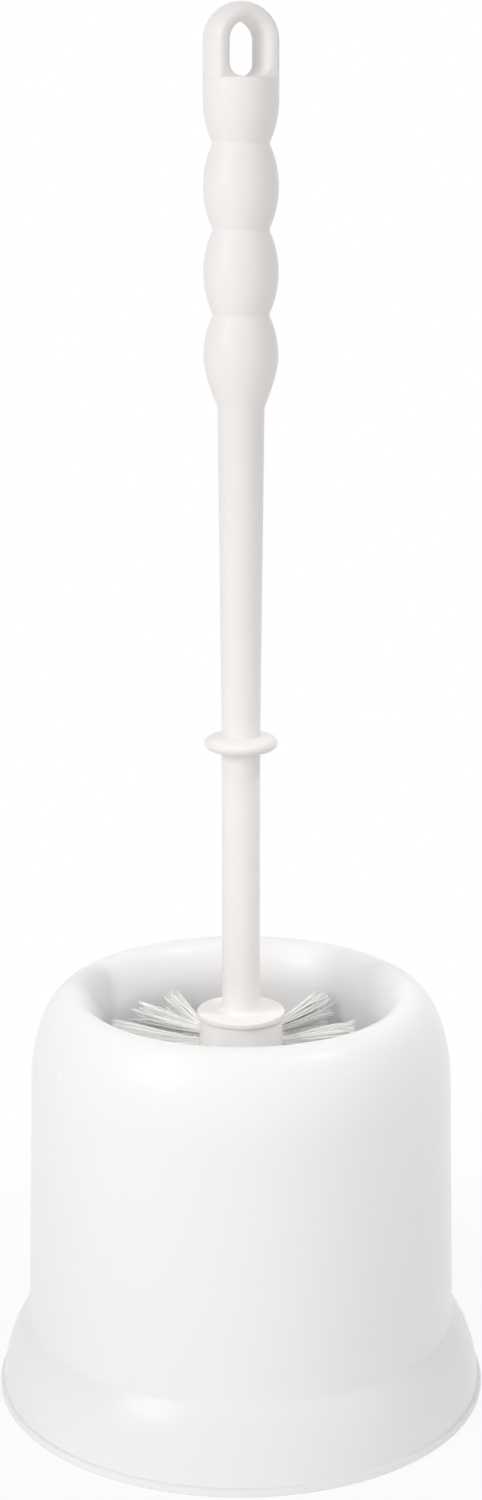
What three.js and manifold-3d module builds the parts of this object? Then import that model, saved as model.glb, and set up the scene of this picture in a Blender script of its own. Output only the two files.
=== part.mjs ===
// Toilet brush standing in its holder.
// Millimetres, +Z up. The origin is the centre of the holder's base, on the floor.
// The hang hole of the handle runs along Y.

import * as THREE from 'three';
import { mergeVertices } from 'three/addons/utils/BufferGeometryUtils.js';
import Module from 'manifold-3d';

const wasm = await Module();
wasm.setup();

// ---- Driving dimensions -------------------------------------------------

// Clearances
const seatGap = 0.3;              // between pieces that are pressed or seated together
const mouthClearance = 3.0;       // bristle tips to the narrowest part of the mouth

// Holder: one double-walled moulding, open underneath between bell and cup
const holderHeight = 115.7;
const footRadius = 68.3;
const footRimHeight = 2.3;
const footRimStep = 1.0;          // how far the rim stands out from the flare above it
const footRimRound = 0.6;
const creaseRadius = 59.7;        // where the bell's wall meets the flared foot
const creaseHeight = 21.9;
const flareBulge = 0.88;          // share of the flare's width taken up in its upper part
const flareShoulder = 0.38;       // share of the flare's height used by that upper part
const shoulderRadius = 58.0;      // top of the straight wall
const shoulderHeight = 89.6;
const crownRadius = 46.3;         // ring where the rim is highest
const lipRadius = 39.0;           // narrowest part of the mouth
const lipHeight = 103.0;
const cupTaper = 1.4;             // how much narrower the cup is at its floor
const cupFloorHeight = 8.0;
const cupCornerRadius = 8.0;
const wall = 2.2;

// Brush head
const hubDepth = 6.0;             // top of the hub's flange below the holder's rim
const flangeRadius = 12.1;
const flangeThickness = 1.4;
const flangeRound = 0.5;
const coreRadius = 11.45;
const coreEdge = 0.5;
const coreEndChamfer = 6.0;
const ringCount = 6;
const tuftsPerRing = 8;
const firstTuftAngle = 21;        // degrees
const topRingDrop = 7.8;          // core's top to the axis of the first ring
const lastRingRise = 12.5;        // core's bottom to the axis of the last ring
const endTuftCount = 6;
const endTuftTilt = 45;           // degrees below the horizontal
const endTuftLength = 18.4;       // the tuft on the axis, from the core to its tip
const splayedTuftLength = 21.0;
const tuftRootRadius = 1.5;
const tuftTipRadius = 4.6;
const tuftTipDome = 1.6;
const tuftHoleDepth = 4.5;

// Handle
const spigotRadius = 3.6;
const spigotLength = 30.0;
const stemRadius = 5.2;
const stemTopRadius = 6.15;
const stemFootRound = 1.4;
const collarRise = 75.7;          // hub's top to the collar's widest circle
const collarRadius = 9.85;
const collarDrop = 2.1;           // collar's lower half height
const collarCrown = 2.0;          // collar's upper half height
const gripRise = 165.4;           // hub's top to the grip's lower end
const gripRadius = 9.7;
const neckRadius = 7.25;
const beadPitch = 21.5;
const beadCount = 4;
const gripTail = 13.0;            // grip's lower end to the widest circle of its first bead
const ledgeRise = 5.4;            // last bead's widest circle to the ledge under the loop
const loopThickness = 10.0;
const slotRadius = 4.85;          // hang hole at its narrowest, halfway through the loop
const slotMouthRound = 2.2;       // rounding from there out to the loop's flat sides
const slotFootRise = 3.7;         // height of the flatter rounding at the hang hole's lower end
const slotStraight = 5.45;
const slotDip = 0.3;              // how far the narrowest part dips below the ledge
const slotSill = 0.1;             // ledge to the bottom of the hole in the loop's flat sides

// How finely curved surfaces are divided
const holderSides = 48;
const handleSides = 32;
const coreSides = 32;
const tuftSides = 8;
const slotSides = 12;
const arcSteps = 6;
const smallArcSteps = 3;
const tuftTipSteps = 2;
const cutMargin = 1.0;            // how far a cutting body runs past what it cuts

// ---- Derived places -----------------------------------------------------

const hubTop = holderHeight - hubDepth;
const flangeBottom = hubTop - flangeThickness;
const coreTop = flangeBottom - seatGap;
const coreBottom = cupFloorHeight + seatGap + endTuftLength;
const tuftReach = lipRadius - mouthClearance;
const tuftHoleRadius = tuftRootRadius + seatGap;
const socketRadius = spigotRadius + seatGap;
const collarHeight = hubTop + collarRise;
const gripBottom = hubTop + gripRise;
const firstBeadHeight = gripBottom + gripTail;
const lastBeadHeight = firstBeadHeight + (beadCount - 1) * beadPitch;
const ledgeHeight = lastBeadHeight + ledgeRise;
const slotLowCentre = ledgeHeight - slotDip + slotFootRise;
const loopCentre = slotLowCentre + slotStraight;

// ---- Materials ----------------------------------------------------------

const plastic = (color, roughness) => new THREE.MeshStandardMaterial({ color, roughness, metalness: 0 });
const holderWhite = plastic(0xf2f2f2, 0.25);
const handleWhite = plastic(0xf3efec, 0.3);
const coreWhite = plastic(0xf5f1ee, 0.35);
const bristleWhite = plastic(0xf4f2ec, 0.6);

// ---- Profile helpers: points are [radius, height] -------------------------

// Part of an ellipse about a centre, between two angles in degrees, both ends included.
function arc(centre, radii, fromDegrees, toDegrees, steps) {
  return Array.from({ length: steps + 1 }, (_, i) => {
    const angle = THREE.MathUtils.degToRad(fromDegrees + (toDegrees - fromDegrees) * i / steps);
    return [centre[0] + radii[0] * Math.cos(angle), centre[1] + radii[1] * Math.sin(angle)];
  });
}

// Points on a curve bent once, from a start to an end by way of a control point.
function bend(start, control, end, steps) {
  const toVector = (p) => new THREE.Vector2(p[0], p[1]);
  const curve = new THREE.QuadraticBezierCurve(toVector(start), toVector(control), toVector(end));
  return curve.getPoints(steps).map((p) => [p.x, p.y]);
}

// Removes a point that repeats the one before it.
function distinct(points) {
  const closeness = 1e-6;
  return points.filter((p, i) => i === 0
    || Math.hypot(p[0] - points[i - 1][0], p[1] - points[i - 1][1]) > closeness);
}

// ---- Solid helpers --------------------------------------------------------

// Merges shared vertices and drops triangles that have collapsed, such as those at a pole.
function closedMesh(geometry) {
  const bare = geometry.clone();
  bare.deleteAttribute('normal');
  bare.deleteAttribute('uv');
  const merged = mergeVertices(bare, 1e-5);
  const index = merged.index.array;
  const kept = [];
  for (let i = 0; i < index.length; i += 3) {
    const [a, b, c] = [index[i], index[i + 1], index[i + 2]];
    if (a !== b && b !== c && c !== a) kept.push(a, b, c);
  }
  merged.setIndex(kept);
  return merged;
}

// A body turned about Z. The profile runs so that its solid lies on its left.
function turned(points, sides) {
  const profile = distinct(points).map((p) => new THREE.Vector2(Math.max(p[0], 0), p[1]));
  return closedMesh(new THREE.LatheGeometry(profile, sides).rotateX(Math.PI / 2));
}

// A closed body through flat rings that stand one behind another along Y. Each ring is
// { y, points } with its points as [x, z], turning the same way and equal in number.
function lofted(rings) {
  const count = rings[0].points.length;
  const positions = rings.flatMap(({ y, points }) => points.flatMap(([x, z]) => [x, y, z]));
  const index = [];
  for (let ring = 0; ring + 1 < rings.length; ring += 1) {
    for (let i = 0; i < count; i += 1) {
      const [a, b] = [ring * count + i, ring * count + (i + 1) % count];
      index.push(a, b + count, b, a, a + count, b + count);
    }
  }
  const outline = rings[0].points.map(([x, z]) => new THREE.Vector2(x, z));
  const last = (rings.length - 1) * count;
  for (const [a, b, c] of THREE.ShapeUtils.triangulateShape(outline, [])) {
    index.push(a, b, c, last + a, last + c, last + b);
  }
  const geometry = new THREE.BufferGeometry();
  geometry.setAttribute('position', new THREE.Float32BufferAttribute(positions, 3));
  geometry.setIndex(index);
  return geometry;
}

function toManifold(geometry) {
  const mesh = closedMesh(geometry);
  return new wasm.Manifold(new wasm.Mesh({
    numProp: 3,
    vertProperties: Float32Array.from(mesh.getAttribute('position').array),
    triVerts: Uint32Array.from(mesh.index.array),
  }));
}

function toGeometry(manifold) {
  const mesh = manifold.getMesh();
  const geometry = new THREE.BufferGeometry();
  geometry.setAttribute('position', new THREE.BufferAttribute(Float32Array.from(mesh.vertProperties), 3));
  geometry.setIndex(Array.from(mesh.triVerts));
  return geometry;
}

function piece(name, geometry, material) {
  const shaded = geometry.clone();
  shaded.computeVertexNormals();
  const mesh = new THREE.Mesh(shaded, material);
  mesh.name = name;
  return mesh;
}

// ---- Holder -----------------------------------------------------------------

const flareEndRadius = footRadius - footRimStep;

// The bell's skin from the crown down to the foot, moved inwards by an inset.
function bellSkin(inset) {
  const crease = [creaseRadius - inset, creaseHeight - inset / 2];
  const flareEnd = [flareEndRadius - inset, footRimHeight];
  const flareControl = [
    crease[0] + flareBulge * (flareEnd[0] - crease[0]),
    crease[1] - flareShoulder * (crease[1] - flareEnd[1]),
  ];
  const shoulderRadii = [shoulderRadius - crownRadius - inset, holderHeight - shoulderHeight - inset];
  return [
    ...arc([crownRadius, shoulderHeight], shoulderRadii, 90, 0, arcSteps),
    ...bend(crease, flareControl, flareEnd, arcSteps),
  ];
}

// The mouth and cup from the crown down to the axis, moved outwards by an inset.
function cupSkin(inset) {
  const floor = cupFloorHeight - inset;
  const corner = cupCornerRadius + inset;
  const wallBottom = lipRadius - cupTaper + inset;
  const rollRadii = [crownRadius - lipRadius - inset, holderHeight - lipHeight - inset];
  return [
    ...arc([crownRadius, lipHeight], rollRadii, 90, 180, arcSteps),
    ...arc([wallBottom - corner, floor + corner], [corner, corner], 0, -90, smallArcSteps),
    [0, floor],
  ];
}

function makeHolder() {
  const rim = [
    [footRadius - footRimRound, footRimHeight],
    [footRadius, footRimHeight - footRimRound],
    [footRadius, footRimRound],
    [footRadius - footRimRound, 0],
    [flareEndRadius - wall, 0],
  ];
  const outside = [...cupSkin(0).reverse(), ...bellSkin(0), ...rim];
  const inside = [...bellSkin(wall).reverse(), ...cupSkin(wall)];
  return piece('holder_shell', turned([...outside, ...inside].reverse(), holderSides), holderWhite);
}

// ---- Tuft seats: where each tuft leaves the core, with its axis along local Z ----

function tuftSeat(name, angleDegrees, tiltDegrees, radius, height, length) {
  const matrix = new THREE.Matrix4()
    .makeRotationZ(THREE.MathUtils.degToRad(angleDegrees))
    .multiply(new THREE.Matrix4().makeTranslation(radius, 0, height))
    .multiply(new THREE.Matrix4().makeRotationY(THREE.MathUtils.degToRad(90 + tiltDegrees)));
  return { name, matrix, length };
}

function tuftSeats() {
  const seats = [];
  const twoDigits = (n) => String(n).padStart(2, '0');
  const ringPitch = (coreTop - topRingDrop - coreBottom - lastRingRise) / (ringCount - 1);
  for (let ring = 0; ring < ringCount; ring += 1) {
    const height = coreTop - topRingDrop - ring * ringPitch;
    const stagger = (ring % 2) / 2;
    for (let i = 0; i < tuftsPerRing; i += 1) {
      const angle = firstTuftAngle + (i + stagger) * 360 / tuftsPerRing;
      const name = `tuft_ring${ring + 1}_${twoDigits(i + 1)}`;
      seats.push(tuftSeat(name, angle, 0, coreRadius, height, tuftReach - coreRadius));
    }
  }
  const chamferMiddle = coreRadius - coreEndChamfer / 2;
  for (let i = 0; i < endTuftCount; i += 1) {
    const angle = firstTuftAngle + i * 360 / endTuftCount;
    const height = coreBottom + coreEndChamfer / 2;
    seats.push(tuftSeat(`tuft_end_${twoDigits(i + 1)}`, angle, endTuftTilt, chamferMiddle, height,
      splayedTuftLength));
  }
  seats.push(tuftSeat('tuft_end_centre', 0, 90, 0, coreBottom, endTuftLength));
  return seats;
}

function makeTuft(seat) {
  const tip = arc([0, seat.length - tuftTipDome], [tuftTipRadius, tuftTipDome], 0, 90, tuftTipSteps);
  const profile = [
    [0, seatGap - tuftHoleDepth],
    [tuftRootRadius, seatGap - tuftHoleDepth],
    [tuftRootRadius, 0],
    ...tip,
  ];
  const tuft = piece(seat.name, turned(profile, tuftSides), bristleWhite);
  tuft.applyMatrix4(seat.matrix);
  return tuft;
}

// ---- Core: the block that the tufts are set in -------------------------------

function makeCore(seats) {
  const socketBottom = flangeBottom - spigotLength - seatGap;
  const profile = [
    [0, coreBottom],
    [coreRadius - coreEndChamfer, coreBottom],
    [coreRadius, coreBottom + coreEndChamfer],
    [coreRadius, coreTop - coreEdge],
    [coreRadius - coreEdge, coreTop],
    [socketRadius, coreTop],
    [socketRadius, socketBottom],
    [0, socketBottom],
  ];
  const drill = turned([
    [0, -tuftHoleDepth],
    [tuftHoleRadius, -tuftHoleDepth],
    [tuftHoleRadius, cutMargin],
    [0, cutMargin],
  ], tuftSides);
  const holes = seats.map((seat) => toManifold(drill.clone().applyMatrix4(seat.matrix)));
  const block = holes.reduce((solid, hole) => solid.subtract(hole), toManifold(turned(profile, coreSides)));
  return piece('brush_core', toGeometry(block), coreWhite);
}

// ---- Handle: spigot, hub flange, stem, collar, beaded grip and hang loop ------

function collarProfile() {
  const radialSize = collarRadius - stemRadius;
  const lower = arc([stemRadius, collarHeight], [radialSize, collarDrop], -90, 0, smallArcSteps + 1);
  const upper = arc([stemRadius, collarHeight], [radialSize, collarCrown], 0, 90, smallArcSteps + 1);
  const roundness = 0.62;         // under 1 makes the ring's edge fuller than an ellipse
  const fuller = (p) => {
    const out = ((p[0] - stemRadius) / radialSize) ** roundness;
    return [stemRadius + radialSize * out, p[1]];
  };
  return [...lower, ...upper].map(fuller);
}

// One bead is a circular arc between two necks; its height runs over one pitch.
function beadProfile(centreHeight, fromShare, toShare) {
  const halfPitch = beadPitch / 2;
  const swell = gripRadius - neckRadius;
  const bow = (halfPitch ** 2 + swell ** 2) / (2 * swell);
  const steps = Math.round(arcSteps * (toShare - fromShare) / 2) + 1;
  return Array.from({ length: steps + 1 }, (_, i) => {
    const offset = halfPitch * (fromShare + (toShare - fromShare) * i / steps);
    return [gripRadius - bow + Math.sqrt(bow ** 2 - offset ** 2), centreHeight + offset];
  });
}

function gripProfile() {
  const lowestBead = [gripRadius, firstBeadHeight];
  const control = [gripRadius, firstBeadHeight - gripTail / 3];
  const points = bend([stemTopRadius, gripBottom], control, lowestBead, arcSteps);
  for (let bead = 0; bead < beadCount; bead += 1) {
    const height = firstBeadHeight + bead * beadPitch;
    const isFirst = bead === 0;
    const isLast = bead === beadCount - 1;
    points.push(...beadProfile(height, isFirst ? 0 : -1, isLast ? 0 : 1));
  }
  points.push(...arc([0, loopCentre], [gripRadius, gripRadius], 0, 90, arcSteps));
  return points;
}

// The hang hole's outline, a share of the way from its narrowest part to its mouth.
function slotOutline(share) {
  const radius = slotRadius + slotMouthRound * share;
  const rise = slotFootRise - (slotDip + slotSill) * share;
  return [
    ...arc([0, loopCentre], [radius, radius], 0, 180, slotSides),
    ...arc([0, slotLowCentre], [radius, rise], 180, 360, slotSides),
  ];
}

function slotCutter() {
  const mouthStart = loopThickness / 2 - slotMouthRound;
  const half = arc([mouthStart, 1], [slotMouthRound, 1], -90, 0, smallArcSteps)
    .map(([y, share]) => ({ y, points: slotOutline(share) }));
  half.push({ y: gripRadius + cutMargin, points: slotOutline(1) });
  const otherHalf = half.map(({ y, points }) => ({ y: -y, points })).reverse();
  return lofted([...otherHalf, ...half]);
}

function makeHandle() {
  const flangeMiddle = flangeRadius - flangeRound;
  const profile = [
    [0, flangeBottom - spigotLength],
    [spigotRadius, flangeBottom - spigotLength],
    [spigotRadius, flangeBottom],
    [flangeMiddle, flangeBottom],
    ...arc([flangeMiddle, hubTop - flangeRound], [flangeRound, flangeRound], 0, 90, smallArcSteps),
    ...arc([stemRadius + stemFootRound, hubTop + stemFootRound], [stemFootRound, stemFootRound],
      270, 180, smallArcSteps),
    ...collarProfile(),
    ...gripProfile(),
  ];
  const flatWidth = 2 * (gripRadius + cutMargin);
  const flatHeight = gripRadius + cutMargin + loopCentre - ledgeHeight;
  const flats = [-1, 1].map((side) => toManifold(
    new THREE.BoxGeometry(flatWidth, flatWidth, flatHeight)
      .translate(0, side * (loopThickness + flatWidth) / 2, ledgeHeight + flatHeight / 2),
  ));
  const cutters = [...flats, toManifold(slotCutter())];
  const body = cutters.reduce((solid, cut) => solid.subtract(cut), toManifold(turned(profile, handleSides)));
  return piece('brush_handle', toGeometry(body), handleWhite);
}

// ---- Assembly -----------------------------------------------------------------

const seats = tuftSeats();

const brush = new THREE.Group();
brush.add(makeHandle(), makeCore(seats), ...seats.map(makeTuft));

const toiletBrushHolder = new THREE.Group();
toiletBrushHolder.add(makeHolder(), brush);

export default toiletBrushHolder;
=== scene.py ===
"""A toilet brush standing in its holder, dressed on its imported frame.

Lengths are metres. +Z is up, the holder stands on z = 0 round the Z axis, and the hang
hole of the brush's handle runs along Y.
"""

import logging
import math
from collections.abc import Iterable
from dataclasses import dataclass, field
from enum import Enum

import bpy
import numpy as np
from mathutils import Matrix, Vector


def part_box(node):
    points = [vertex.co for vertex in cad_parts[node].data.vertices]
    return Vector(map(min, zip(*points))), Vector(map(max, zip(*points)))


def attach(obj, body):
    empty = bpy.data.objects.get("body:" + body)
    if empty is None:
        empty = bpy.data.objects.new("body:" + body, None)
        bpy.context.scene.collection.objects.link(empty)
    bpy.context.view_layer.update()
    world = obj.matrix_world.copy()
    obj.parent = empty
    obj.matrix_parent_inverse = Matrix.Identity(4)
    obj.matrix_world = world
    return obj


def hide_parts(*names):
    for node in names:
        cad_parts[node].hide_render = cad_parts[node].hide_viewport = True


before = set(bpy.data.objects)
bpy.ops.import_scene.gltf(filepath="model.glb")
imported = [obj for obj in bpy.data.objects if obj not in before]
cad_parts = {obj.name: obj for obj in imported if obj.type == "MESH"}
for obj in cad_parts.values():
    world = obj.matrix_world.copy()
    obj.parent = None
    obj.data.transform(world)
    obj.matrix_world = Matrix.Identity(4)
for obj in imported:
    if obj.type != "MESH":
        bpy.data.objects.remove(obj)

LOG = logging.getLogger("brush_set")

Array = np.ndarray
Colour = tuple[float, float, float]


class Body(Enum):
    """The two bodies of the frame that pieces ride on."""

    HOLDER = "holder"
    BRUSH = "brush"


class Slot(Enum):
    """The record's material slots."""

    HOLDER = "holder_plastic"
    HANDLE = "handle_plastic"
    CORE = "core_plastic"
    BRISTLE = "bristle"


class Boolean(Enum):
    """What a boolean does with the other surface."""

    JOIN = "UNION"
    CUT = "DIFFERENCE"


# ---- Curves and surfaces ----


@dataclass
class Surface:
    """Points and faces of a closed skin.

    Attributes:
        points: one row of x, y and z for each vertex.
        faces: arrays of vertex numbers, one array for each number of corners.
        pattern: the place of each vertex in the piece's own pattern, or None.
    """

    points: Array
    faces: list[Array]
    pattern: Array | None = None


def ellipse_arc(centre: tuple[float, float], radii: tuple[float, float],
                start: float, end: float, steps: int) -> Array:
    """Part of an ellipse: centre + radii (cos a, sin a), a from start to end in degrees."""
    angle = np.radians(np.linspace(start, end, steps + 1))
    return np.column_stack([centre[0] + radii[0] * np.cos(angle),
                            centre[1] + radii[1] * np.sin(angle)])


def bend(start: Iterable[float], control: Iterable[float], end: Iterable[float],
         steps: int) -> Array:
    """A curve bent once: (1-t)^2 start + 2t(1-t) control + t^2 end, with t from 0 to 1."""
    t = np.linspace(0.0, 1.0, steps + 1)[:, None]
    return ((1 - t) ** 2 * np.asarray(start) + 2 * t * (1 - t) * np.asarray(control)
            + t ** 2 * np.asarray(end))


def round_corner(profile: Array, corner: int, reach: float, steps: int) -> Array:
    """The profile with one point replaced by a bend whose ends lie a reach away from it."""
    here = profile[corner]
    sides = [profile[corner - 1] - here, profile[corner + 1] - here]
    ends = [here + side * min(1.0, reach / np.linalg.norm(side)) for side in sides]
    return np.vstack([profile[:corner], bend(ends[0], here, ends[1], steps),
                      profile[corner + 1:]])


def without_repeats(profile: Array) -> Array:
    """The profile without points that repeat the one before them."""
    closeness = 1e-7
    step = np.linalg.norm(np.diff(profile, axis=0), axis=1)
    return profile[np.concatenate([[True], step > closeness])]


def grid_faces(rows: int, columns: int) -> Array:
    """Faces (i, j), (i, j+1), (i+1, j+1), (i+1, j) of a grid whose rows are closed rings."""
    i = np.arange(rows - 1)[:, None]
    j = np.arange(columns)[None, :]
    j_next = (j + 1) % columns
    corners = [i * columns + j, i * columns + j_next, (i + 1) * columns + j_next,
               (i + 1) * columns + j]
    return np.stack(corners, axis=-1).reshape(-1, 4)


def lathe(profile: Array, segments: int) -> Surface:
    """Turns a profile about Z: x = r cos a, y = r sin a and z = height.

    Args:
        profile: rows of radius and height that start and end on the axis, with the
            solid on their left.
        segments: number of divisions of the turn.

    Returns:
        A closed surface with one point at each pole.
    """
    radius, height = profile[1:-1].T
    angle = np.arange(segments) * (2 * np.pi / segments)
    rings = np.stack(np.broadcast_arrays(radius[:, None] * np.cos(angle),
                                         radius[:, None] * np.sin(angle),
                                         height[:, None]), axis=-1).reshape(-1, 3)
    poles = np.array([[0, 0, profile[0, 1]], [0, 0, profile[-1, 1]]])
    j = np.arange(segments)
    j_next = (j + 1) % segments
    last = (len(radius) - 1) * segments
    first_fan = np.column_stack([np.full(segments, len(rings)), j_next, j])
    last_fan = np.column_stack([last + j, last + j_next, np.full(segments, len(rings) + 1)])
    return Surface(np.vstack([rings, poles]),
                   [grid_faces(len(radius), segments), first_fan, last_fan])


def joined(surfaces: list[Surface]) -> Surface:
    """Several separate surfaces as one."""
    starts = np.cumsum([0] + [len(s.points) for s in surfaces[:-1]])
    faces = [f + start for s, start in zip(surfaces, starts) for f in s.faces]
    return Surface(np.vstack([s.points for s in surfaces]), faces)


# ---- Meshes ----


def new_object(name: str, data: bpy.types.ID) -> bpy.types.Object:
    """A new object at the origin, linked to the scene, that shows a mesh, lamp or camera."""
    item = bpy.data.objects.new(name, data)
    bpy.context.scene.collection.objects.link(item)
    return item


def make_mesh_object(name: str, surface: Surface, smooth: bool = True) -> bpy.types.Object:
    """Puts a surface into a new mesh object at the origin.

    Args:
        name: name of the object and its mesh.
        surface: the skin to show.
        smooth: whether its faces are shaded as one curved skin.

    Returns:
        The object, linked to the scene.
    """
    mesh = bpy.data.meshes.new(name)
    corners = np.concatenate([f.ravel() for f in surface.faces])
    counts = np.concatenate([np.full(len(f), f.shape[1]) for f in surface.faces])
    starts = np.concatenate([[0], np.cumsum(counts)[:-1]])
    mesh.vertices.add(len(surface.points))
    mesh.vertices.foreach_set("co", surface.points.astype(np.float32).ravel())
    mesh.loops.add(len(corners))
    mesh.loops.foreach_set("vertex_index", corners.astype(np.int32))
    mesh.polygons.add(len(counts))
    mesh.polygons.foreach_set("loop_start", starts.astype(np.int32))
    mesh.polygons.foreach_set("use_smooth", np.full(len(counts), smooth))
    mesh.update(calc_edges=True)
    if surface.pattern is not None:
        layer = mesh.uv_layers.new(name="strand")
        layer.data.foreach_set("uv", surface.pattern[corners].astype(np.float32).ravel())
    return new_object(name, mesh)


def apply_boolean(piece: bpy.types.Object, other: Surface, action: Boolean) -> None:
    """Joins or cuts a piece with another closed surface, and keeps the result in its mesh.

    Args:
        piece: object whose mesh is changed.
        other: the surface that is joined to it or cut from it.
        action: whether it is joined or cut.
    """
    tool = make_mesh_object(f"{piece.name}_tool", other)
    modifier = piece.modifiers.new("boolean", "BOOLEAN")
    modifier.operation = action.value
    modifier.solver = "EXACT"
    modifier.object = tool
    graph = bpy.context.evaluated_depsgraph_get()
    result = bpy.data.meshes.new_from_object(piece.evaluated_get(graph))
    piece.modifiers.remove(modifier)
    old_mesh, tool_mesh = piece.data, tool.data
    piece.data = result
    bpy.data.objects.remove(tool)
    for spent in (old_mesh, tool_mesh):
        bpy.data.meshes.remove(spent)


def shade(piece: bpy.types.Object, crisp_angle: float) -> None:
    """Shades a piece smooth, but for edges that turn by more than an angle in degrees."""
    piece.data.polygons.foreach_set("use_smooth", np.ones(len(piece.data.polygons), bool))
    piece.data.set_sharp_from_angle(angle=math.radians(crisp_angle))
    piece.data.update()


def finish_piece(piece: bpy.types.Object, body: Body, node: str,
                 material: bpy.types.Material) -> None:
    """Gives a piece its material and its body, and hides the CAD node that it stands for.

    Args:
        piece: the finished object.
        body: the body that it rides on.
        node: the CAD node that it replaces.
        material: its material.
    """
    piece.data.materials.clear()
    piece.data.materials.append(material)
    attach(piece, body.value)
    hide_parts(node)
    LOG.info("%s: %d faces, rides on %s", piece.name, len(piece.data.polygons), body.value)


# ---- Shader tools ----


class NodeBuilder:
    """Adds and joins nodes in one node tree."""

    def __init__(self, tree: bpy.types.NodeTree) -> None:
        """Keeps the tree that nodes are added to."""
        self.tree = tree

    def add(self, kind: str, inputs: dict | None = None, **settings) -> bpy.types.Node:
        """Adds a node, sets its properties and fills or joins its inputs.

        Args:
            kind: Blender's type name of the node.
            inputs: input name or number to a plain value or to an output socket.
            **settings: properties of the node itself.

        Returns:
            The new node.
        """
        node = self.tree.nodes.new(kind)
        for key, value in settings.items():
            setattr(node, key, value)
        self.fill(node, inputs or {})
        return node

    def fill(self, node: bpy.types.Node, inputs: dict) -> None:
        """Joins each input of a node to an output socket, or sets it to a plain value."""
        for key, value in inputs.items():
            if isinstance(value, bpy.types.NodeSocket):
                self.tree.links.new(value, node.inputs[key])
            else:
                node.inputs[key].default_value = value

    def math(self, operation: str, first: object, second: object) -> bpy.types.NodeSocket:
        """The output of a math node on two values or sockets."""
        return self.add("ShaderNodeMath", {0: first, 1: second}, operation=operation).outputs[0]

    def noise(self, coordinates: object, scale: object, detail: float) -> bpy.types.NodeSocket:
        """The grey output of a noise texture on given coordinates, between 0 and 1."""
        inputs = {"Vector": coordinates, "Scale": scale, "Detail": detail}
        return self.add("ShaderNodeTexNoise", inputs).outputs["Fac"]

    def blend(self, share: object, first: object, second: object) -> bpy.types.NodeSocket:
        """The colour that lies a share of the way from the first to the second."""
        ends = [end if isinstance(end, bpy.types.NodeSocket) else (*end, 1.0)
                for end in (first, second)]
        inputs = {"Factor": share, 6: ends[0], 7: ends[1]}
        return self.add("ShaderNodeMix", inputs, data_type="RGBA").outputs[2]


def new_material(name: str) -> tuple[bpy.types.Material, NodeBuilder]:
    """A new material with a node tree, and a builder for the tree."""
    material = bpy.data.materials.new(name)
    material.use_nodes = True
    return material, NodeBuilder(material.node_tree)


def new_group(name: str, inputs: dict[str, str], outputs: dict[str, str]) -> bpy.types.NodeTree:
    """A new shader node group, with each socket's name and kind, such as Float or Color."""
    group = bpy.data.node_groups.new(name, "ShaderNodeTree")
    for direction, sockets in (("INPUT", inputs), ("OUTPUT", outputs)):
        for socket, kind in sockets.items():
            group.interface.new_socket(socket, in_out=direction, socket_type=f"NodeSocket{kind}")
    return group


def moulded_skin_group() -> bpy.types.NodeTree:
    """The skin of a plastic moulding, shared by all the mouldings.

    Height is a fine grain plus a slow waviness from uneven cooling. Colour drifts slowly
    between two values. Roughness strays by half a slow drift and half a streak, drawn out
    along the height where the melt ran.

    Returns:
        The group, with the outputs Colour, Roughness and Height.
    """
    inputs = {"Colour": "Color", "Drift Colour": "Color", "Roughness": "Float",
              "Roughness Spread": "Float", "Grain Scale": "Float", "Grain Height": "Float",
              "Wave Scale": "Float", "Wave Height": "Float"}
    outputs = {"Colour": "Color", "Roughness": "Float", "Height": "Float"}
    group = new_group("moulded_skin", inputs, outputs)
    streak_scale, drift_scale = 160.0, 14.0
    stretch = (1.0, 1.0, 0.22)
    build = NodeBuilder(group)
    given = build.add("NodeGroupInput").outputs
    place = build.add("ShaderNodeTexCoord").outputs["Object"]
    stretched = build.add("ShaderNodeMapping", {"Vector": place, "Scale": stretch})
    grain = build.noise(place, given["Grain Scale"], 2.0)
    wave = build.noise(place, given["Wave Scale"], 1.0)
    streak = build.noise(stretched.outputs[0], streak_scale, 3.0)
    drift = build.noise(place, drift_scale, 2.0)
    height = build.math("ADD", build.math("MULTIPLY", grain, given["Grain Height"]),
                        build.math("MULTIPLY", wave, given["Wave Height"]))
    uneven = build.math("SUBTRACT", build.math("ADD", build.math("MULTIPLY", streak, 0.5),
                                               build.math("MULTIPLY", drift, 0.5)), 0.5)
    roughness = build.math("ADD", given["Roughness"],
                           build.math("MULTIPLY", uneven, given["Roughness Spread"]))
    colour = build.blend(drift, given["Colour"], given["Drift Colour"])
    build.add("NodeGroupOutput", {"Colour": colour, "Roughness": roughness, "Height": height})
    return group


# ---- Finishes ----


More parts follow.
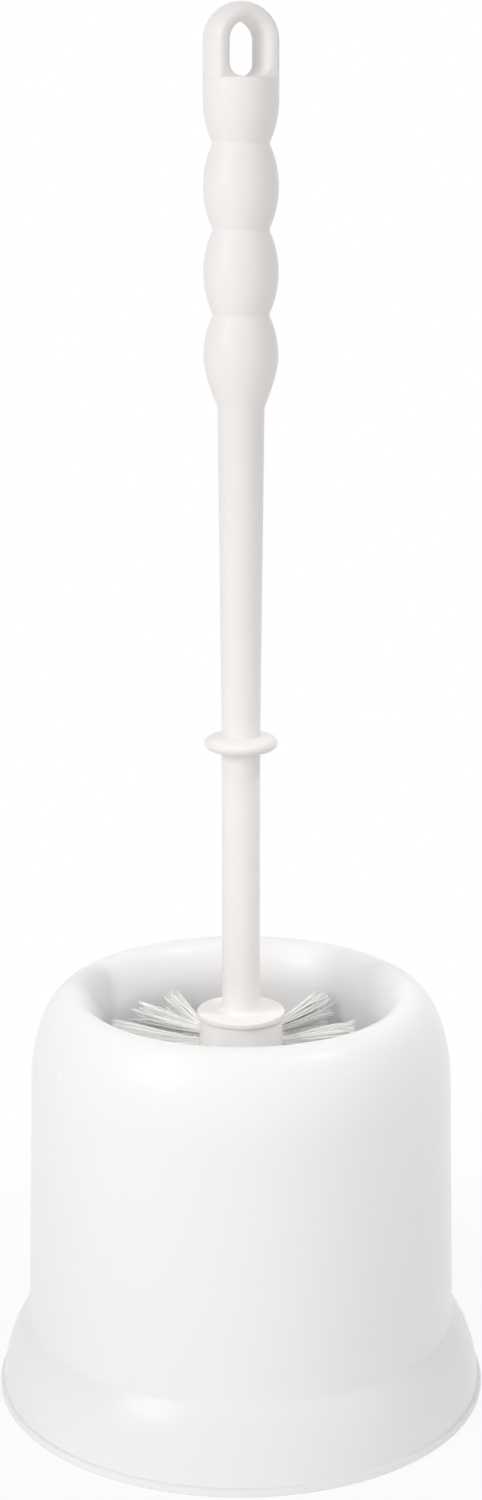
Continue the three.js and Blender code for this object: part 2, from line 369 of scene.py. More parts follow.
@dataclass(frozen=True)
class PlasticFinish:
    """A moulded plastic: its two close colours, its gloss and the unevenness of its skin.

    Attributes:
        name: name of the material.
        colour: the usual colour.
        drift_colour: the colour that it drifts towards in slow patches.
        roughness: the usual roughness.
        roughness_spread: how far the roughness drifts.
        grain_scale: grains in a metre.
        grain_height: relative height of the grain.
        wave_scale: slow waves in a metre.
        wave_height: relative height of the waves.
        bump_distance: what a relative height of 1 stands for.
        specular: specular level of the shader.
    """

    name: str
    colour: Colour
    drift_colour: Colour
    roughness: float
    roughness_spread: float = 0.08
    grain_scale: float = 1400.0
    grain_height: float = 0.04
    wave_scale: float = 55.0
    wave_height: float = 0.5
    bump_distance: float = 0.0002
    specular: float = 0.5

    def material(self, skin: bpy.types.NodeTree) -> bpy.types.Material:
        """The material of this finish, on the shared skin group."""
        material, build = new_material(self.name)
        shader = material.node_tree.nodes["Principled BSDF"]
        values = {"Colour": (*self.colour, 1.0), "Drift Colour": (*self.drift_colour, 1.0),
                  "Roughness": self.roughness, "Roughness Spread": self.roughness_spread,
                  "Grain Scale": self.grain_scale, "Grain Height": self.grain_height,
                  "Wave Scale": self.wave_scale, "Wave Height": self.wave_height}
        effect = build.add("ShaderNodeGroup", values, node_tree=skin).outputs
        bump = build.add("ShaderNodeBump", {"Height": effect["Height"], "Strength": 1.0,
                                            "Distance": self.bump_distance})
        build.fill(shader, {"Base Color": effect["Colour"], "Roughness": effect["Roughness"],
                            "Normal": bump.outputs["Normal"],
                            "Specular IOR Level": self.specular})
        return material


@dataclass(frozen=True)
class BristleFinish:
    """Drawn nylon filaments, almost white, each with its own tone, painted shade towards the root
    and a paler cut tip.

    Attributes:
        name: name of the material.
        root_shade_colour: painted shade deep in the tuft, where little light comes.
        length_colour: colour along the filament.
        tip_colour: colour of the cut end, which scatters light.
        tone_colour: colour that some filaments lean to.
        roughness: roughness of the filaments.
        length_start: share of the length at which the root's painted shade has gone.
        tone_share: how far the filament of the strongest tone leans to it.
    """

    name: str = "bristle_nylon"
    root_shade_colour: Colour = (0.97, 0.963, 0.95)
    length_colour: Colour = (0.98, 0.976, 0.966)
    tip_colour: Colour = (0.985, 0.985, 0.98)
    tone_colour: Colour = (0.965, 0.96, 0.945)
    roughness: float = 0.42
    length_start: float = 0.35
    tone_share: float = 0.55

    def material(self) -> bpy.types.Material:
        """The material of the filaments, on the pattern of each tuft."""
        material, build = new_material(self.name)
        shader = material.node_tree.nodes["Principled BSDF"]
        place = build.add("ShaderNodeUVMap", uv_map="strand").outputs["UV"]
        split = build.add("ShaderNodeSeparateXYZ", {"Vector": place}).outputs
        # The ramp starts with painted shade at the root, darker where little light reaches deep
        # in the tuft, then runs to the filament's own colour and its paler cut tip.
        ramp = build.add("ShaderNodeValToRGB", {"Fac": split["X"]})
        stops = ramp.color_ramp.elements
        stops[0].color = (*self.root_shade_colour, 1.0)
        stops[1].color = (*self.tip_colour, 1.0)
        stops.new(self.length_start).color = (*self.length_colour, 1.0)
        leaning = build.math("MULTIPLY", split["Y"], self.tone_share)
        colour = build.blend(leaning, ramp.outputs["Color"], self.tone_colour)
        build.fill(shader, {"Base Color": colour, "Roughness": self.roughness})
        return material


HOLDER_FINISH = PlasticFinish("holder_gloss", (0.965, 0.963, 0.961), (0.957, 0.955, 0.952), 0.26,
                              specular=0.25)
HANDLE_FINISH = PlasticFinish("handle_satin", (0.922, 0.898, 0.890), (0.914, 0.889, 0.880), 0.34,
                              wave_scale=90.0, specular=0.22)
CORE_FINISH = PlasticFinish("core_satin", (0.965, 0.952, 0.942), (0.958, 0.944, 0.934), 0.36,
                            wave_scale=110.0, specular=0.3)


# ---- Holder ----


@dataclass
class HolderShell:
    """The round holder: a bell with a rolled mouth that runs into a cup, in one moulding.

    Its foot radius and height are those of its CAD node.
    """

    material: bpy.types.Material
    node: str = "holder_shell"
    rim_height: float = 0.0023
    rim_step: float = 0.0010
    rim_round: float = 0.0006
    crease_radius: float = 0.0597
    crease_height: float = 0.0219
    flare_bulge: float = 0.88
    flare_shoulder: float = 0.38
    shoulder_radius: float = 0.0580
    shoulder_height: float = 0.0896
    crown_radius: float = 0.0463
    lip_radius: float = 0.0390
    lip_height: float = 0.1030
    cup_taper: float = 0.0014
    cup_floor: float = 0.0080
    cup_corner: float = 0.0080
    wall: float = 0.0022
    gate_radius: float = 0.0022
    gate_height: float = 0.0006
    crease_reach: float = 0.0005
    segments: int = 240
    arc_steps: int = 20
    wall_steps: int = 8
    rim_steps: int = 5
    crease_steps: int = 4
    crisp_angle: float = 32.0
    foot_radius: float = field(init=False)
    height: float = field(init=False)

    def __post_init__(self) -> None:
        """Takes the overall sizes from the frame."""
        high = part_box(self.node)[1]
        self.foot_radius, self.height = high.x, high.z

    def bell_skin(self, inset: float) -> Array:
        """The bell from its crown to its foot, moved inwards.

        The shoulder is a quarter ellipse, the wall is straight, and the flare is bent once.

        Args:
            inset: how far inside the outer skin this one lies.

        Returns:
            Rows of radius and height.
        """
        crease = np.array([self.crease_radius - inset, self.crease_height - inset / 2])
        end = np.array([self.foot_radius - self.rim_step - inset, self.rim_height])
        control = crease + (end - crease) * np.array([self.flare_bulge, self.flare_shoulder])
        radii = (self.shoulder_radius - self.crown_radius - inset,
                 self.height - self.shoulder_height - inset)
        shoulder = ellipse_arc((self.crown_radius, self.shoulder_height), radii, 90, 0,
                               self.arc_steps)
        down = np.linspace(shoulder[-1], crease, self.wall_steps + 1)[1:-1]
        flare = bend(crease, control, end, self.arc_steps)
        skin = np.vstack([shoulder, down, flare])
        return round_corner(skin, len(shoulder) + len(down), self.crease_reach,
                            self.crease_steps)

    def cup_skin(self, inset: float) -> Array:
        """The mouth and cup from the crown to the axis, moved outwards.

        The roll is a quarter ellipse and the cup's corner a quarter circle.

        Args:
            inset: how far outside the cup's own skin this one lies.

        Returns:
            Rows of radius and height.
        """
        floor = self.cup_floor - inset
        corner = self.cup_corner + inset
        foot = self.lip_radius - self.cup_taper + inset
        radii = (self.crown_radius - self.lip_radius - inset,
                 self.height - self.lip_height - inset)
        roll = ellipse_arc((self.crown_radius, self.lip_height), radii, 90, 180, self.arc_steps)
        turn = ellipse_arc((foot - corner, floor + corner), (corner, corner), 0, -90,
                           self.arc_steps // 2)
        down = np.linspace(roll[-1], turn[0], self.wall_steps + 1)[1:-1]
        return np.vstack([roll, down, turn, [0, floor]])

    def profile(self) -> Array:
        """The whole section, from the top of the cup's floor round to its underside."""
        middle, rounding = self.foot_radius - self.rim_round, self.rim_round
        radii, steps = (rounding, rounding), self.rim_steps
        rim = np.vstack([
            ellipse_arc((middle, self.rim_height - rounding), radii, 90, 0, steps),
            ellipse_arc((middle, rounding), radii, 0, -90, steps),
            [self.foot_radius - self.rim_step - self.wall, 0.0],
        ])
        under = self.cup_floor - self.wall
        gate = np.array([[self.gate_radius, under], [self.gate_radius, under - self.gate_height],
                         [0, under - self.gate_height]])
        outside = np.vstack([self.cup_skin(0.0)[::-1], self.bell_skin(0.0), rim])
        inside = np.vstack([self.bell_skin(self.wall)[::-1], self.cup_skin(self.wall)[:-1], gate])
        return without_repeats(np.vstack([outside, inside]))[::-1]

    def build(self) -> None:
        """Makes the holder and dresses it."""
        piece = make_mesh_object("holder_moulding", lathe(self.profile(), self.segments))
        shade(piece, self.crisp_angle)
        finish_piece(piece, Body.HOLDER, self.node, self.material)


# ---- Handle ----


@dataclass
class HangLoop:
    """The flat-sided loop at the handle's top and the slot that cuts its hang hole.

    The loop is a half circle on straight legs. The slot is a half circle over a half
    ellipse, narrowest halfway through and opening towards both flats along a quarter
    circle. Each is a grid: outlines in the XZ plane, stacked along Y.
    """

    centre: float
    ledge: float
    outer_radius: float
    half_thickness: float = 0.0050
    hole_radius: float = 0.00485
    hole_foot: float = 0.0037
    hole_dip: float = 0.0003
    hole_sill: float = 0.0001
    mouth_round: float = 0.0022
    edge_round: float = 0.0008
    burial: float = 0.0030
    clearance: float = 0.0040
    arc_steps: int = 40
    leg_steps: int = 6
    mouth_steps: int = 10
    edge_steps: int = 6
    skin_steps: int = 14

    def reach(self, depth: Array | float) -> Array:
        """Half width of the outer skin at a depth along Y: sqrt(radius^2 - depth^2)."""
        return np.sqrt(self.outer_radius ** 2 - np.square(depth))

    def section(self) -> Array:
        """Half widths and depths of the outer skin, from the far flat to the near one."""
        thick, edge = self.half_thickness, self.edge_round
        corner = bend((self.reach(thick) - edge, thick), (self.reach(thick), thick),
                      (self.reach(thick - edge), thick - edge), self.edge_steps)[:-1]
        depth = np.linspace(thick - edge, edge - thick, self.skin_steps + 1)
        return np.vstack([corner, np.column_stack([self.reach(depth), depth]),
                          corner[::-1] * [1, -1]])

    def body(self) -> Surface:
        """The loop without its hole, with its legs sunk into the grip."""
        half_width, depth = self.section().T
        angle = np.radians(np.linspace(0, 180, self.arc_steps + 1))
        fall = np.linspace(self.centre, self.ledge - self.burial, self.leg_steps + 1)[1:]
        ones = np.ones_like(fall)
        across = np.concatenate([np.cos(angle), -ones, ones])
        above = np.concatenate([np.sin(angle), 0 * ones, 0 * ones])
        height = np.concatenate([0 * angle + self.centre, fall, fall[::-1]])
        return self.stacked(half_width[:, None] * across,
                            height + half_width[:, None] * above, depth)

    def slot(self) -> Surface:
        """The slot: its half width and foot change with 1 - cos of the mouth's quarter turn."""
        quarter = np.radians(np.linspace(90, 0, self.mouth_steps + 1))
        opening = 1 - np.cos(quarter)
        depth = self.half_thickness - self.mouth_round * (1 - np.sin(quarter))
        opening = np.concatenate([[1.0], opening, opening[::-1], [1.0]])[:, None]
        out = self.half_thickness + self.clearance
        depth = np.concatenate([[out], depth, -depth[::-1], [-out]])
        half_width = self.hole_radius + self.mouth_round * opening
        foot = self.hole_foot - (self.hole_dip + self.hole_sill) * opening
        low = self.ledge - self.hole_dip + self.hole_foot
        angle = np.radians(np.linspace(0, 180, self.arc_steps + 1))
        top = self.centre + half_width * np.sin(angle)
        bottom = low - foot * np.sin(angle)
        across = half_width * np.concatenate([np.cos(angle), -np.cos(angle)])
        return self.stacked(across, np.hstack([top, bottom]), depth)

    def stacked(self, across: Array, height: Array, depth: Array) -> Surface:
        """Stacks outlines along Y into a closed skin with flat ends.

        Args:
            across: x of each outline's points, one row for each outline.
            height: z of the same points.
            depth: y of each outline, from the greatest to the least.

        Returns:
            The closed surface.
        """
        rows, columns = across.shape
        deep = np.broadcast_to(depth[:, None], across.shape)
        points = np.stack([across, deep, height], axis=-1).reshape(-1, 3)
        ring = np.arange(columns)[None]
        return Surface(points, [grid_faces(rows, columns), ring[:, ::-1],
                                ring + (rows - 1) * columns])


@dataclass
class BrushHandle:
    """The handle: spigot, hub flange, stem, drip collar, beaded grip and hang loop.

    Heights are taken from the hub's top, which stands a set depth below the holder's rim.
    """

    material: bpy.types.Material
    node: str = "brush_handle"
    hub_depth: float = 0.0060
    flange_radius: float = 0.0121
    flange_thickness: float = 0.0014
    flange_round: float = 0.0005
    spigot_radius: float = 0.0036
    spigot_length: float = 0.0300
    stem_radius: float = 0.0052
    stem_top_radius: float = 0.00615
    stem_foot_round: float = 0.0014
    collar_rise: float = 0.0757
    collar_radius: float = 0.00985
    collar_drop: float = 0.0021
    collar_crown: float = 0.0020
    collar_roundness: float = 0.62
    grip_rise: float = 0.1654
    grip_radius: float = 0.0097
    neck_radius: float = 0.00725
    neck_reach: float = 0.0006
    bead_pitch: float = 0.0215
    bead_count: int = 4
    grip_tail: float = 0.0130
    ledge_rise: float = 0.0054
    ledge_round: float = 0.0003
    loop_shrink: float = 0.00003
    segments: int = 112
    arc_steps: int = 18
    neck_steps: int = 4
    flange_steps: int = 6
    foot_steps: int = 8
    ledge_steps: int = 4
    crisp_angle: float = 34.0

    def collar(self, height: float) -> Array:
        """The drip collar: an ellipse whose radius is raised to a power, for a fuller edge."""
        centre, size = (self.stem_radius, height), self.collar_radius - self.stem_radius
        ring = np.vstack([
            ellipse_arc(centre, (size, self.collar_drop), -90, 0, self.arc_steps // 2),
            ellipse_arc(centre, (size, self.collar_crown), 0, 90, self.arc_steps // 2),
        ])
        share = np.clip((ring[:, 0] - self.stem_radius) / size, 0, 1)
        ring[:, 0] = self.stem_radius + size * share ** self.collar_roundness
        return without_repeats(ring)

    def bead(self, height: float, start: float, end: float) -> Array:
        """One bead: a circular arc from neck to neck about a centre beyond the axis.

        Args:
            height: height of its widest circle.
            start: where it starts, as a share of half a pitch.
            end: where it ends, as a share of half a pitch.

        Returns:
            Rows of radius and height.
        """
        half_pitch, swell = self.bead_pitch / 2, self.grip_radius - self.neck_radius
        bow = (half_pitch ** 2 + swell ** 2) / (2 * swell)
        steps = round(self.arc_steps * (end - start) / 2)
        offset = half_pitch * np.linspace(start, end, steps + 1)
        return np.column_stack([self.grip_radius - bow + np.sqrt(bow ** 2 - offset ** 2),
                                height + offset])

    def grip(self, bottom: float) -> Array:
        """The grip from its lower end to the ledge, with its necks softened.

        Args:
            bottom: height of the grip's lower end.

        Returns:
            Rows of radius and height.
        """
        first = bottom + self.grip_tail
        parts = [bend((self.stem_top_radius, bottom),
                      (self.grip_radius, first - self.grip_tail / 3),
                      (self.grip_radius, first), self.arc_steps)]
        for number in range(self.bead_count):
            start = 0.0 if number == 0 else -1.0
            end = 0.0 if number == self.bead_count - 1 else 1.0
            parts.append(self.bead(first + number * self.bead_pitch, start, end))
        outline = without_repeats(np.vstack(parts))
        for number in range(self.bead_count - 1, 0, -1):
            neck = first + (number - 0.5) * self.bead_pitch
            corner = int(np.argmin(np.abs(outline[:, 1] - neck)))
            outline = round_corner(outline, corner, self.neck_reach, self.neck_steps)
        return outline

    def profile(self, hub_top: float, ledge: float) -> Array:
        """The turned part of the handle, from the spigot's end to the ledge.

        Args:
            hub_top: height of the hub's top face.
            ledge: height of the ledge under the loop.

        Returns:
            Rows of radius and height.
        """
        under = hub_top - self.flange_thickness
        middle, rounding = self.flange_radius - self.flange_round, self.flange_round
        foot, edge = self.stem_foot_round, self.ledge_round
        grip_bottom = hub_top + self.grip_rise
        return without_repeats(np.vstack([
            [0, under - self.spigot_length],
            [self.spigot_radius, under - self.spigot_length],
            [self.spigot_radius, under],
            [self.flange_radius, under],
            ellipse_arc((middle, hub_top - rounding), (rounding, rounding), 0, 90,
                        self.flange_steps),
            ellipse_arc((self.stem_radius + foot, hub_top + foot), (foot, foot), 270, 180,
                        self.foot_steps),
            self.collar(hub_top + self.collar_rise),
            self.grip(grip_bottom),
            ellipse_arc((self.grip_radius - edge, ledge - edge), (edge, edge), 0, 90,
                        self.ledge_steps),
            [0, ledge],
        ]))

    def build(self, holder: HolderShell) -> None:
        """Makes the handle and dresses it, with its hub a set depth below the holder's rim."""
        hub_top = holder.height - self.hub_depth
        first = hub_top + self.grip_rise + self.grip_tail
        ledge = first + (self.bead_count - 1) * self.bead_pitch + self.ledge_rise
        loop_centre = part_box(self.node)[1].z - self.grip_radius
        loop = HangLoop(loop_centre, ledge, self.grip_radius - self.loop_shrink)
        piece = make_mesh_object("handle_moulding",
                                 lathe(self.profile(hub_top, ledge), self.segments))
        apply_boolean(piece, loop.body(), Boolean.JOIN)
        apply_boolean(piece, loop.slot(), Boolean.CUT)
        shade(piece, self.crisp_angle)
        finish_piece(piece, Body.BRUSH, self.node, self.material)


# ---- Brush head ----


@dataclass(frozen=True)
class Seat:
    """Where a tuft leaves the core.

    Attributes:
        node: the CAD node of the tuft.
        root: the inner end of its axis.
        way: unit direction of its axis, outwards.
        length: length of its axis, from the hole's floor to the tip.
    """

    node: str
    root: Array
    way: Array
    length: float


def tuft_seats() -> list[Seat]:
    """Reads the axis of every tuft from its CAD node.

    The axis is the direction in which the node's points spread most, and the root is at
    its thinner end.

    Returns:
        The seats, in the order of their names.
    """
    seats = []
    for name in sorted(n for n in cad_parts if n.startswith("tuft_")):
        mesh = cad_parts[name].data
        points = np.empty(len(mesh.vertices) * 3)
        mesh.vertices.foreach_get("co", points)
        points = np.unique(points.reshape(-1, 3).round(6), axis=0)
        middle = points.mean(axis=0)
        way = np.linalg.svd(points - middle)[2][0]
        along = (points - middle) @ way
        aside = np.linalg.norm(points - middle - along[:, None] * way, axis=1)
        if aside[along < along.mean()].max() > aside[along > along.mean()].max():
            way, along = -way, -along
        seats.append(Seat(name, middle + way * along.min(), way, float(np.ptp(along))))
    return seats


@dataclass
class BrushCore:
    """The block that the tufts are set in, with a drilled hole for each of them.

    Its radius and height are those of its CAD node.
    """

    material: bpy.types.Material
    node: str = "brush_core"
    edge: float = 0.0005
    end_chamfer: float = 0.0060
    chamfer_reach: float = 0.0008
    socket_radius: float = 0.0039
    socket_depth: float = 0.0300
    hole_radius: float = 0.0018
    hole_overrun: float = 0.0060
    segments: int = 96
    hole_segments: int = 20
    edge_steps: int = 3
    chamfer_steps: int = 4
    crisp_angle: float = 30.0

    def profile(self) -> Array:
        """The block's section, from the middle of its lower end to the socket's floor."""
        low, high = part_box(self.node)
        radius, top, bottom = high.x, high.z, low.z
        chamfer_top = bottom + self.end_chamfer
        outline = np.array([
            [0, bottom],
            [radius - self.end_chamfer, bottom],
            [radius, chamfer_top],
            [radius, top - self.edge],
            [radius - self.edge, top],
            [self.socket_radius, top],
            [self.socket_radius, top - self.socket_depth],
            [0, top - self.socket_depth],
        ])
        outline = round_corner(outline, 3, self.edge / 2, self.edge_steps)
        for corner in (2, 1):
            outline = round_corner(outline, corner, self.chamfer_reach, self.chamfer_steps)
        return outline

    def drill(self, seat: Seat) -> Surface:
        """The cylinder that is cut out for one tuft: its axis runs along the seat's."""
        radius, length = self.hole_radius, self.hole_overrun
        rod = lathe(np.array([[0, 0], [radius, 0], [radius, length], [0, length]]),
                    self.hole_segments)
        side, over = frame_about(seat.way)
        return Surface(seat.root + rod.points @ np.array([side, over, seat.way]), rod.faces)

    def build(self, seats: list[Seat]) -> None:
        """Makes the core, with a hole for each seat, and dresses it."""
        piece = make_mesh_object("core_block", lathe(self.profile(), self.segments))
        apply_boolean(piece, joined([self.drill(seat) for seat in seats]), Boolean.CUT)
        shade(piece, self.crisp_angle)
        finish_piece(piece, Body.BRUSH, self.node, self.material)


def frame_about(way: Array) -> tuple[Array, Array]:
    """Unit directions side and over, square to a unit direction: side x over = way."""
    nearly_upright = 0.9
    helper = np.array([0.0, 0.0, 1.0] if abs(way[2]) < nearly_upright else [1.0, 0.0, 0.0])
    side = np.cross(helper, way)
    side /= np.linalg.norm(side)
    return side, np.cross(way, side)


@dataclass(frozen=True)
class Habit:
    """The way that one tuft has set with use.

    Attributes:
        length: share of its full length.
        sideways: how far its tip has moved sideways.
        upwards: how far its tip has moved upwards.
        spread: how wide it has opened, as a share of the usual.
        parting: how far apart its two halves have moved at the tip.
    """

    length: float = 1.0
    sideways: float = 0.0
    upwards: float = 0.0
    spread: float = 1.0
    parting: float = 0.0


# The top ring shows inside the mouth, so its tufts have set in chosen ways.
SAGGING = Habit(length=0.95, upwards=-0.0012, spread=0.90)
TOP_RING_HABITS = {
    "tuft_ring1_01": Habit(upwards=0.0014, spread=0.95),
    "tuft_ring1_02": Habit(length=0.88, upwards=-0.0010, spread=0.75),
    "tuft_ring1_03": Habit(sideways=-0.0025, upwards=0.0014, spread=0.85, parting=0.0130),
    "tuft_ring1_04": Habit(sideways=-0.0040, upwards=0.0005, spread=1.05),
    "tuft_ring1_05": SAGGING,
    "tuft_ring1_06": SAGGING,
    "tuft_ring1_07": SAGGING,
    "tuft_ring1_08": Habit(length=0.86, sideways=0.0030, upwards=0.0004, spread=0.85),
}


@dataclass
class Tufts:
    """Bundles of fine filaments, one for each drilled hole.

    A filament's middle line starts in the hole, runs outwards and opens with the power
    of its way along, plus a bow that is greatest halfway. A three-sided skin is carried
    along it and closed at both ends.
    """

    material: bpy.types.Material
    habits: dict[str, Habit] = field(default_factory=dict)
    filaments: int = 130
    filament_radius: float = 0.00018
    root_radius: float = 0.00125
    tip_radius: float = 0.0046
    start_depth: float = 0.0025
    opening_power: float = 1.35
    stray: float = 0.00045
    bow: float = 0.0007
    cut_spread: float = 0.05
    usual_drift: float = 0.0011
    least_length: float = 0.94
    widest_spread: float = 1.35
    tip_taper: float = 0.55
    rings: int = 7
    sides: int = 3
    seed: int = 41

    def habit(self, seat: Seat, chance: np.random.Generator) -> Habit:
        """The way a tuft has set: a chosen one, or a small random one."""
        drift = chance.normal(0.0, self.usual_drift, 2)
        length = chance.uniform(self.least_length, 1.0)
        spread = chance.uniform(1.0, self.widest_spread)
        return self.habits.get(seat.node, Habit(length, drift[0], drift[1], spread))

    def surface(self, seat: Seat, chance: np.random.Generator) -> Surface:
        """All the filaments of one tuft.

        Args:
            seat: the tuft's seat.
            chance: the source of its random numbers.

        Returns:
            The filaments' skins, with way along and own tone as their pattern.
        """
        habit = self.habit(seat, chance)
        side, over = frame_about(seat.way)
        count = self.filaments
        share, turn = np.sqrt(chance.uniform(0, 1, count)), chance.uniform(0, 2 * np.pi, count)
        heading = np.column_stack([np.cos(turn), np.sin(turn)]) * share[:, None]
        root = heading * self.root_radius
        parting = np.where(chance.uniform(0, 1, count) < 0.5, -0.5, 0.5) * habit.parting
        tip = (heading * self.tip_radius * habit.spread
               + chance.normal(0, self.stray, (count, 2)) + [habit.sideways, habit.upwards])
        tip[:, 0] += parting
        bow = chance.normal(0, self.bow, (count, 2))
        depth = self.start_depth
        length = (seat.length - depth) * habit.length
        length = length * (1 - np.abs(chance.normal(0, self.cut_spread, count)))
        t = np.linspace(0, 1, self.rings)[None, :, None]
        aside = (root[:, None] + (tip - root)[:, None] * t ** self.opening_power
                 + bow[:, None] * 4 * t * (1 - t) * t)
        line = (seat.root + seat.way * (depth + length[:, None, None] * t)
                + aside[..., :1] * side + aside[..., 1:] * over)
        return self.skin(line, side, over, chance)

    def skin(self, line: Array, side: Array, over: Array,
             chance: np.random.Generator) -> Surface:
        """Carries a small polygon along each filament's middle line.

        Args:
            line: middle lines, as filament, place along and coordinate.
            side: one direction across the filaments.
            over: the other direction across them.
            chance: the source of their random turn and tone.

        Returns:
            The closed skins.
        """
        count, rings, sides = line.shape[0], line.shape[1], self.sides
        turn = chance.uniform(0, 2 * np.pi, count)[:, None]
        angle = turn + np.arange(sides) * (2 * np.pi / sides)
        across = np.cos(angle)[..., None] * side + np.sin(angle)[..., None] * over
        taper = np.concatenate([np.ones(rings - 1), [self.tip_taper]]) * self.filament_radius
        points = line[:, :, None] + across[:, None] * taper[None, :, None, None]
        start = (np.arange(count) * rings * sides)[:, None]
        walls = grid_faces(rings, sides)[None] + start[..., None]
        corner = np.arange(sides)[None]
        root_caps = start + corner[:, ::-1]
        tip_caps = start + (rings - 1) * sides + corner
        along = np.broadcast_to(np.linspace(0, 1, rings)[None, :, None], points.shape[:3])
        tone = np.broadcast_to(chance.uniform(0, 1, count)[:, None, None], points.shape[:3])
        pattern = np.stack([along, tone], axis=-1).reshape(-1, 2)
        return Surface(points.reshape(-1, 3), [walls.reshape(-1, 4), root_caps, tip_caps],
                       pattern)

    def build(self, seats: list[Seat]) -> None:
        """Makes every tuft and dresses it, in the order of the seats."""
        chance = np.random.default_rng(self.seed)
        for seat in seats:
            piece = make_mesh_object(f"{seat.node}_filaments", self.surface(seat, chance), False)
            finish_piece(piece, Body.BRUSH, seat.node, self.material)


# ---- Studio ----


@dataclass(frozen=True)
class Lamp:
    """One soft lamp: its size, its power, its place about the object and where it aims.

    Attributes:
        name: name of the lamp.
        azimuth: degrees round Z from the side that the camera stands on.
        height: height above the floor.
        distance: distance from the axis.
        size: side length of its square face, or radius of a snooted lamp.
        power: power in watts.
        aim: height on the axis that it faces.
        cone: width of a snooted lamp's cone in degrees, or None for an open lamp.
    """

    name: str
    azimuth: float
    height: float
    distance: float
    size: float
    power: float
    aim: float
    cone: float | None = None


@dataclass(frozen=True)
class Panel:
    """One broad soft patch of light in the surround.

    Attributes:
        azimuth: degrees round Z from the side that the camera stands on.
        elevation: degrees above the horizon.
        sharpness: power of the cosine that it fades with away from its middle.
        strength: its strength in the middle.
    """

    azimuth: float
    elevation: float
    sharpness: float
    strength: float


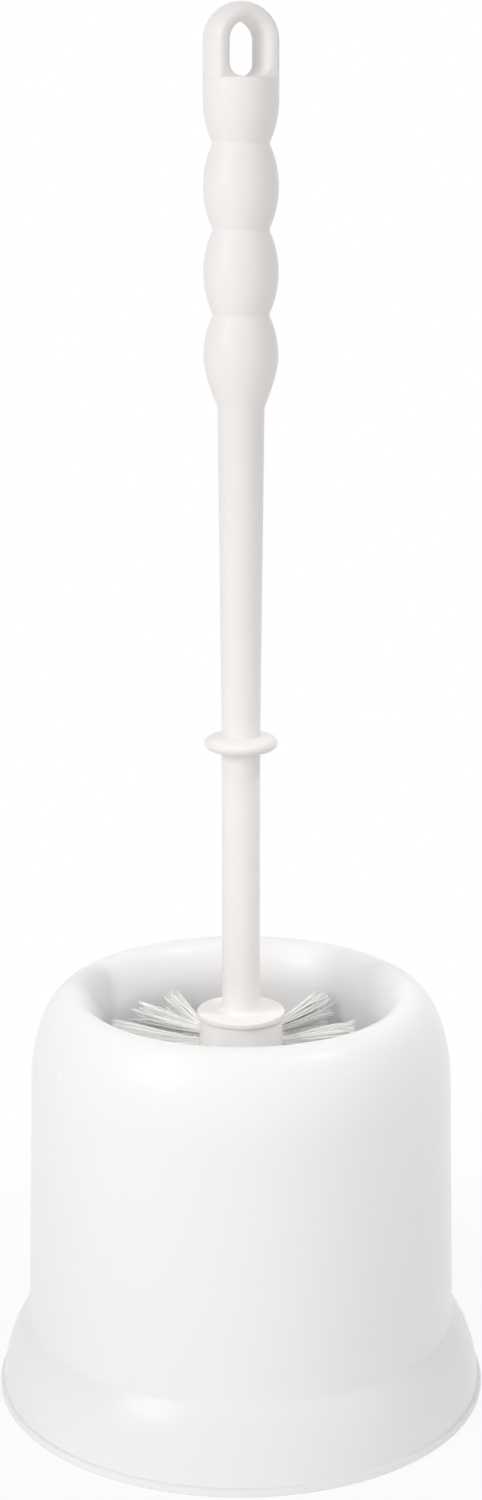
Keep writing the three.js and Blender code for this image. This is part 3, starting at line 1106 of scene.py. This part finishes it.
@dataclass
class Studio:
    """A white floor, soft lamps, a pale surround and the camera."""

    camera_azimuth: float = -27.0
    camera_distance: float = 0.6552
    camera_height: float = 0.3428
    camera_pitch: float = 13.68
    camera_lens: float = 60.22
    sensor_width: float = 36.0
    clip_start: float = 0.01
    clip_end: float = 100.0
    floor_size: float = 40.0
    floor_colour: Colour = (0.96, 0.96, 0.96)
    floor_white_share: float = 0.88
    shadow_start: float = 0.07
    shadow_end: float = 0.22
    surround_colour: Colour = (1.0, 0.986, 0.980)
    surround_base: float = 0.01
    cone_blend: float = 0.5
    panels: tuple[Panel, ...] = (
        Panel(180.0, 20.0, 2.0, 1.10),
        Panel(90.0, 20.0, 2.0, 0.66),
        Panel(-25.0, 35.0, 3.0, 0.06),
        Panel(-18.0, 8.0, 3.0, 1.14),
        Panel(10.0, 8.0, 3.0, 0.27),
    )
    lamps: tuple[Lamp, ...] = (
        Lamp("key_lamp", -50.0, 0.80, 1.10, 0.55, 4.8, aim=0.160),
        Lamp("left_cup_lamp", -70.0, 0.954, 0.52, 0.06, 15.5, aim=0.10, cone=4.4),
        Lamp("right_cup_lamp", 75.0, 0.966, 0.50, 0.06, 27.0, aim=0.10, cone=4.4),
    )

    def around(self, azimuth: float, distance: float, height: float) -> Vector:
        """The point at an azimuth from the camera's side, a distance from the axis."""
        angle = math.radians(self.camera_azimuth + azimuth)
        return Vector((math.sin(angle) * distance, -math.cos(angle) * distance, height))

    def build(self) -> None:
        """Makes the camera, the floor, the lamps and the surround."""
        self.make_camera()
        self.make_floor()
        self.make_surround()
        for lamp in self.lamps:
            self.make_lamp(lamp)
        bpy.context.scene.view_settings.view_transform = "Standard"

    def make_camera(self) -> None:
        """Stands the camera in front of the object, turned down by its pitch."""
        data = bpy.data.cameras.new("camera")
        data.lens = self.camera_lens
        data.sensor_width = self.sensor_width
        data.clip_start, data.clip_end = self.clip_start, self.clip_end
        camera = new_object("camera", data)
        camera.location = self.around(0.0, self.camera_distance, self.camera_height)
        camera.rotation_euler = (math.radians(90.0 - self.camera_pitch), 0.0,
                                 math.radians(self.camera_azimuth))
        bpy.context.scene.camera = camera

    def make_floor(self) -> None:
        """Lays a floor that is white to the eye but keeps a faint shadow."""
        half = self.floor_size / 2
        corners = np.array([[-half, -half, 0], [half, -half, 0], [half, half, 0],
                            [-half, half, 0]])
        floor = make_mesh_object("floor", Surface(corners, [np.array([[0, 1, 2, 3]])]))
        material, build = new_material("studio_floor")
        material.node_tree.nodes.remove(material.node_tree.nodes["Principled BSDF"])
        output = material.node_tree.nodes["Material Output"]
        lit = build.add("ShaderNodeBsdfDiffuse", {"Color": (*self.floor_colour, 1.0)})
        white = build.add("ShaderNodeEmission", {"Color": (1, 1, 1, 1), "Strength": 1.0})
        place = build.add("ShaderNodeTexCoord").outputs["Object"]
        distance = build.add("ShaderNodeVectorMath", {0: place}, operation="LENGTH")
        white_share = build.add("ShaderNodeMapRange", {
            "Value": distance.outputs["Value"], "From Min": self.shadow_start,
            "From Max": self.shadow_end, "To Min": self.floor_white_share, "To Max": 1.0,
        }, interpolation_type="SMOOTHSTEP")
        share = build.math("MULTIPLY", seen_directly(build), white_share.outputs["Result"])
        mixed = build.add("ShaderNodeMixShader", {0: share, 1: lit.outputs[0],
                                                  2: white.outputs[0]})
        build.fill(output, {"Surface": mixed.outputs[0]})
        floor.data.materials.append(material)

    def make_surround(self) -> None:
        """Sets a pale surround: white to the eye and in gloss.

        As a light its strength is the base plus, for each panel, strength times
        max(0, cos a)^sharpness, where a is the angle from the panel's middle.
        """
        world = bpy.data.worlds.new("surround")
        world.use_nodes = True
        build = NodeBuilder(world.node_tree)
        background = world.node_tree.nodes["Background"]
        seen = seen_directly(build)
        way = build.add("ShaderNodeTexCoord").outputs["Generated"]
        light = self.surround_base
        for panel in self.panels:
            middle = self.around(panel.azimuth, 1.0,
                                 math.tan(math.radians(panel.elevation))).normalized()
            cosine = build.add("ShaderNodeVectorMath", {0: way, 1: middle},
                               operation="DOT_PRODUCT").outputs["Value"]
            facing = build.math("POWER", build.math("MAXIMUM", cosine, 0.0), panel.sharpness)
            light = build.math("ADD", build.math("MULTIPLY", facing, panel.strength), light)
        unseen = build.math("SUBTRACT", 1.0, seen)
        strength = build.math("ADD", build.math("MULTIPLY", light, unseen), seen)
        colour = build.blend(seen, self.surround_colour, (1.0, 1.0, 1.0))
        build.fill(background, {"Strength": strength, "Color": colour})
        bpy.context.scene.world = world

    def make_lamp(self, lamp: Lamp) -> None:
        """Hangs a soft lamp: an open square one, or one snooted to a narrow cone."""
        if lamp.cone is None:
            data = bpy.data.lights.new(lamp.name, "AREA")
            data.size = lamp.size
        else:
            data = bpy.data.lights.new(lamp.name, "SPOT")
            data.shadow_soft_size = lamp.size
            data.spot_size = math.radians(lamp.cone)
            data.spot_blend = self.cone_blend
        data.energy = lamp.power
        item = new_object(lamp.name, data)
        item.location = self.around(lamp.azimuth, lamp.distance, lamp.height)
        way = Vector((0.0, 0.0, lamp.aim)) - item.location
        item.rotation_euler = way.to_track_quat("-Z", "Y").to_euler()


def seen_directly(build: NodeBuilder) -> bpy.types.NodeSocket:
    """1 for a ray from the camera, or one mirrored or bent by gloss or glass, otherwise 0."""
    path = build.add("ShaderNodeLightPath").outputs
    either = build.math("MAXIMUM", path["Is Camera Ray"], path["Is Glossy Ray"])
    return build.math("MAXIMUM", either, path["Is Transmission Ray"])


# ---- The whole ----


def main() -> None:
    """Builds the studio and the pieces in order."""
    logging.basicConfig(level=logging.INFO, format="%(name)s: %(message)s")
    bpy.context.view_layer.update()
    Studio().build()
    skin = moulded_skin_group()
    holder = HolderShell(HOLDER_FINISH.material(skin))
    holder.build()
    BrushHandle(HANDLE_FINISH.material(skin)).build(holder)
    seats = tuft_seats()
    BrushCore(CORE_FINISH.material(skin)).build(seats)
    Tufts(BristleFinish().material(), TOP_RING_HABITS).build(seats)


if __name__ == "__main__":
    main()
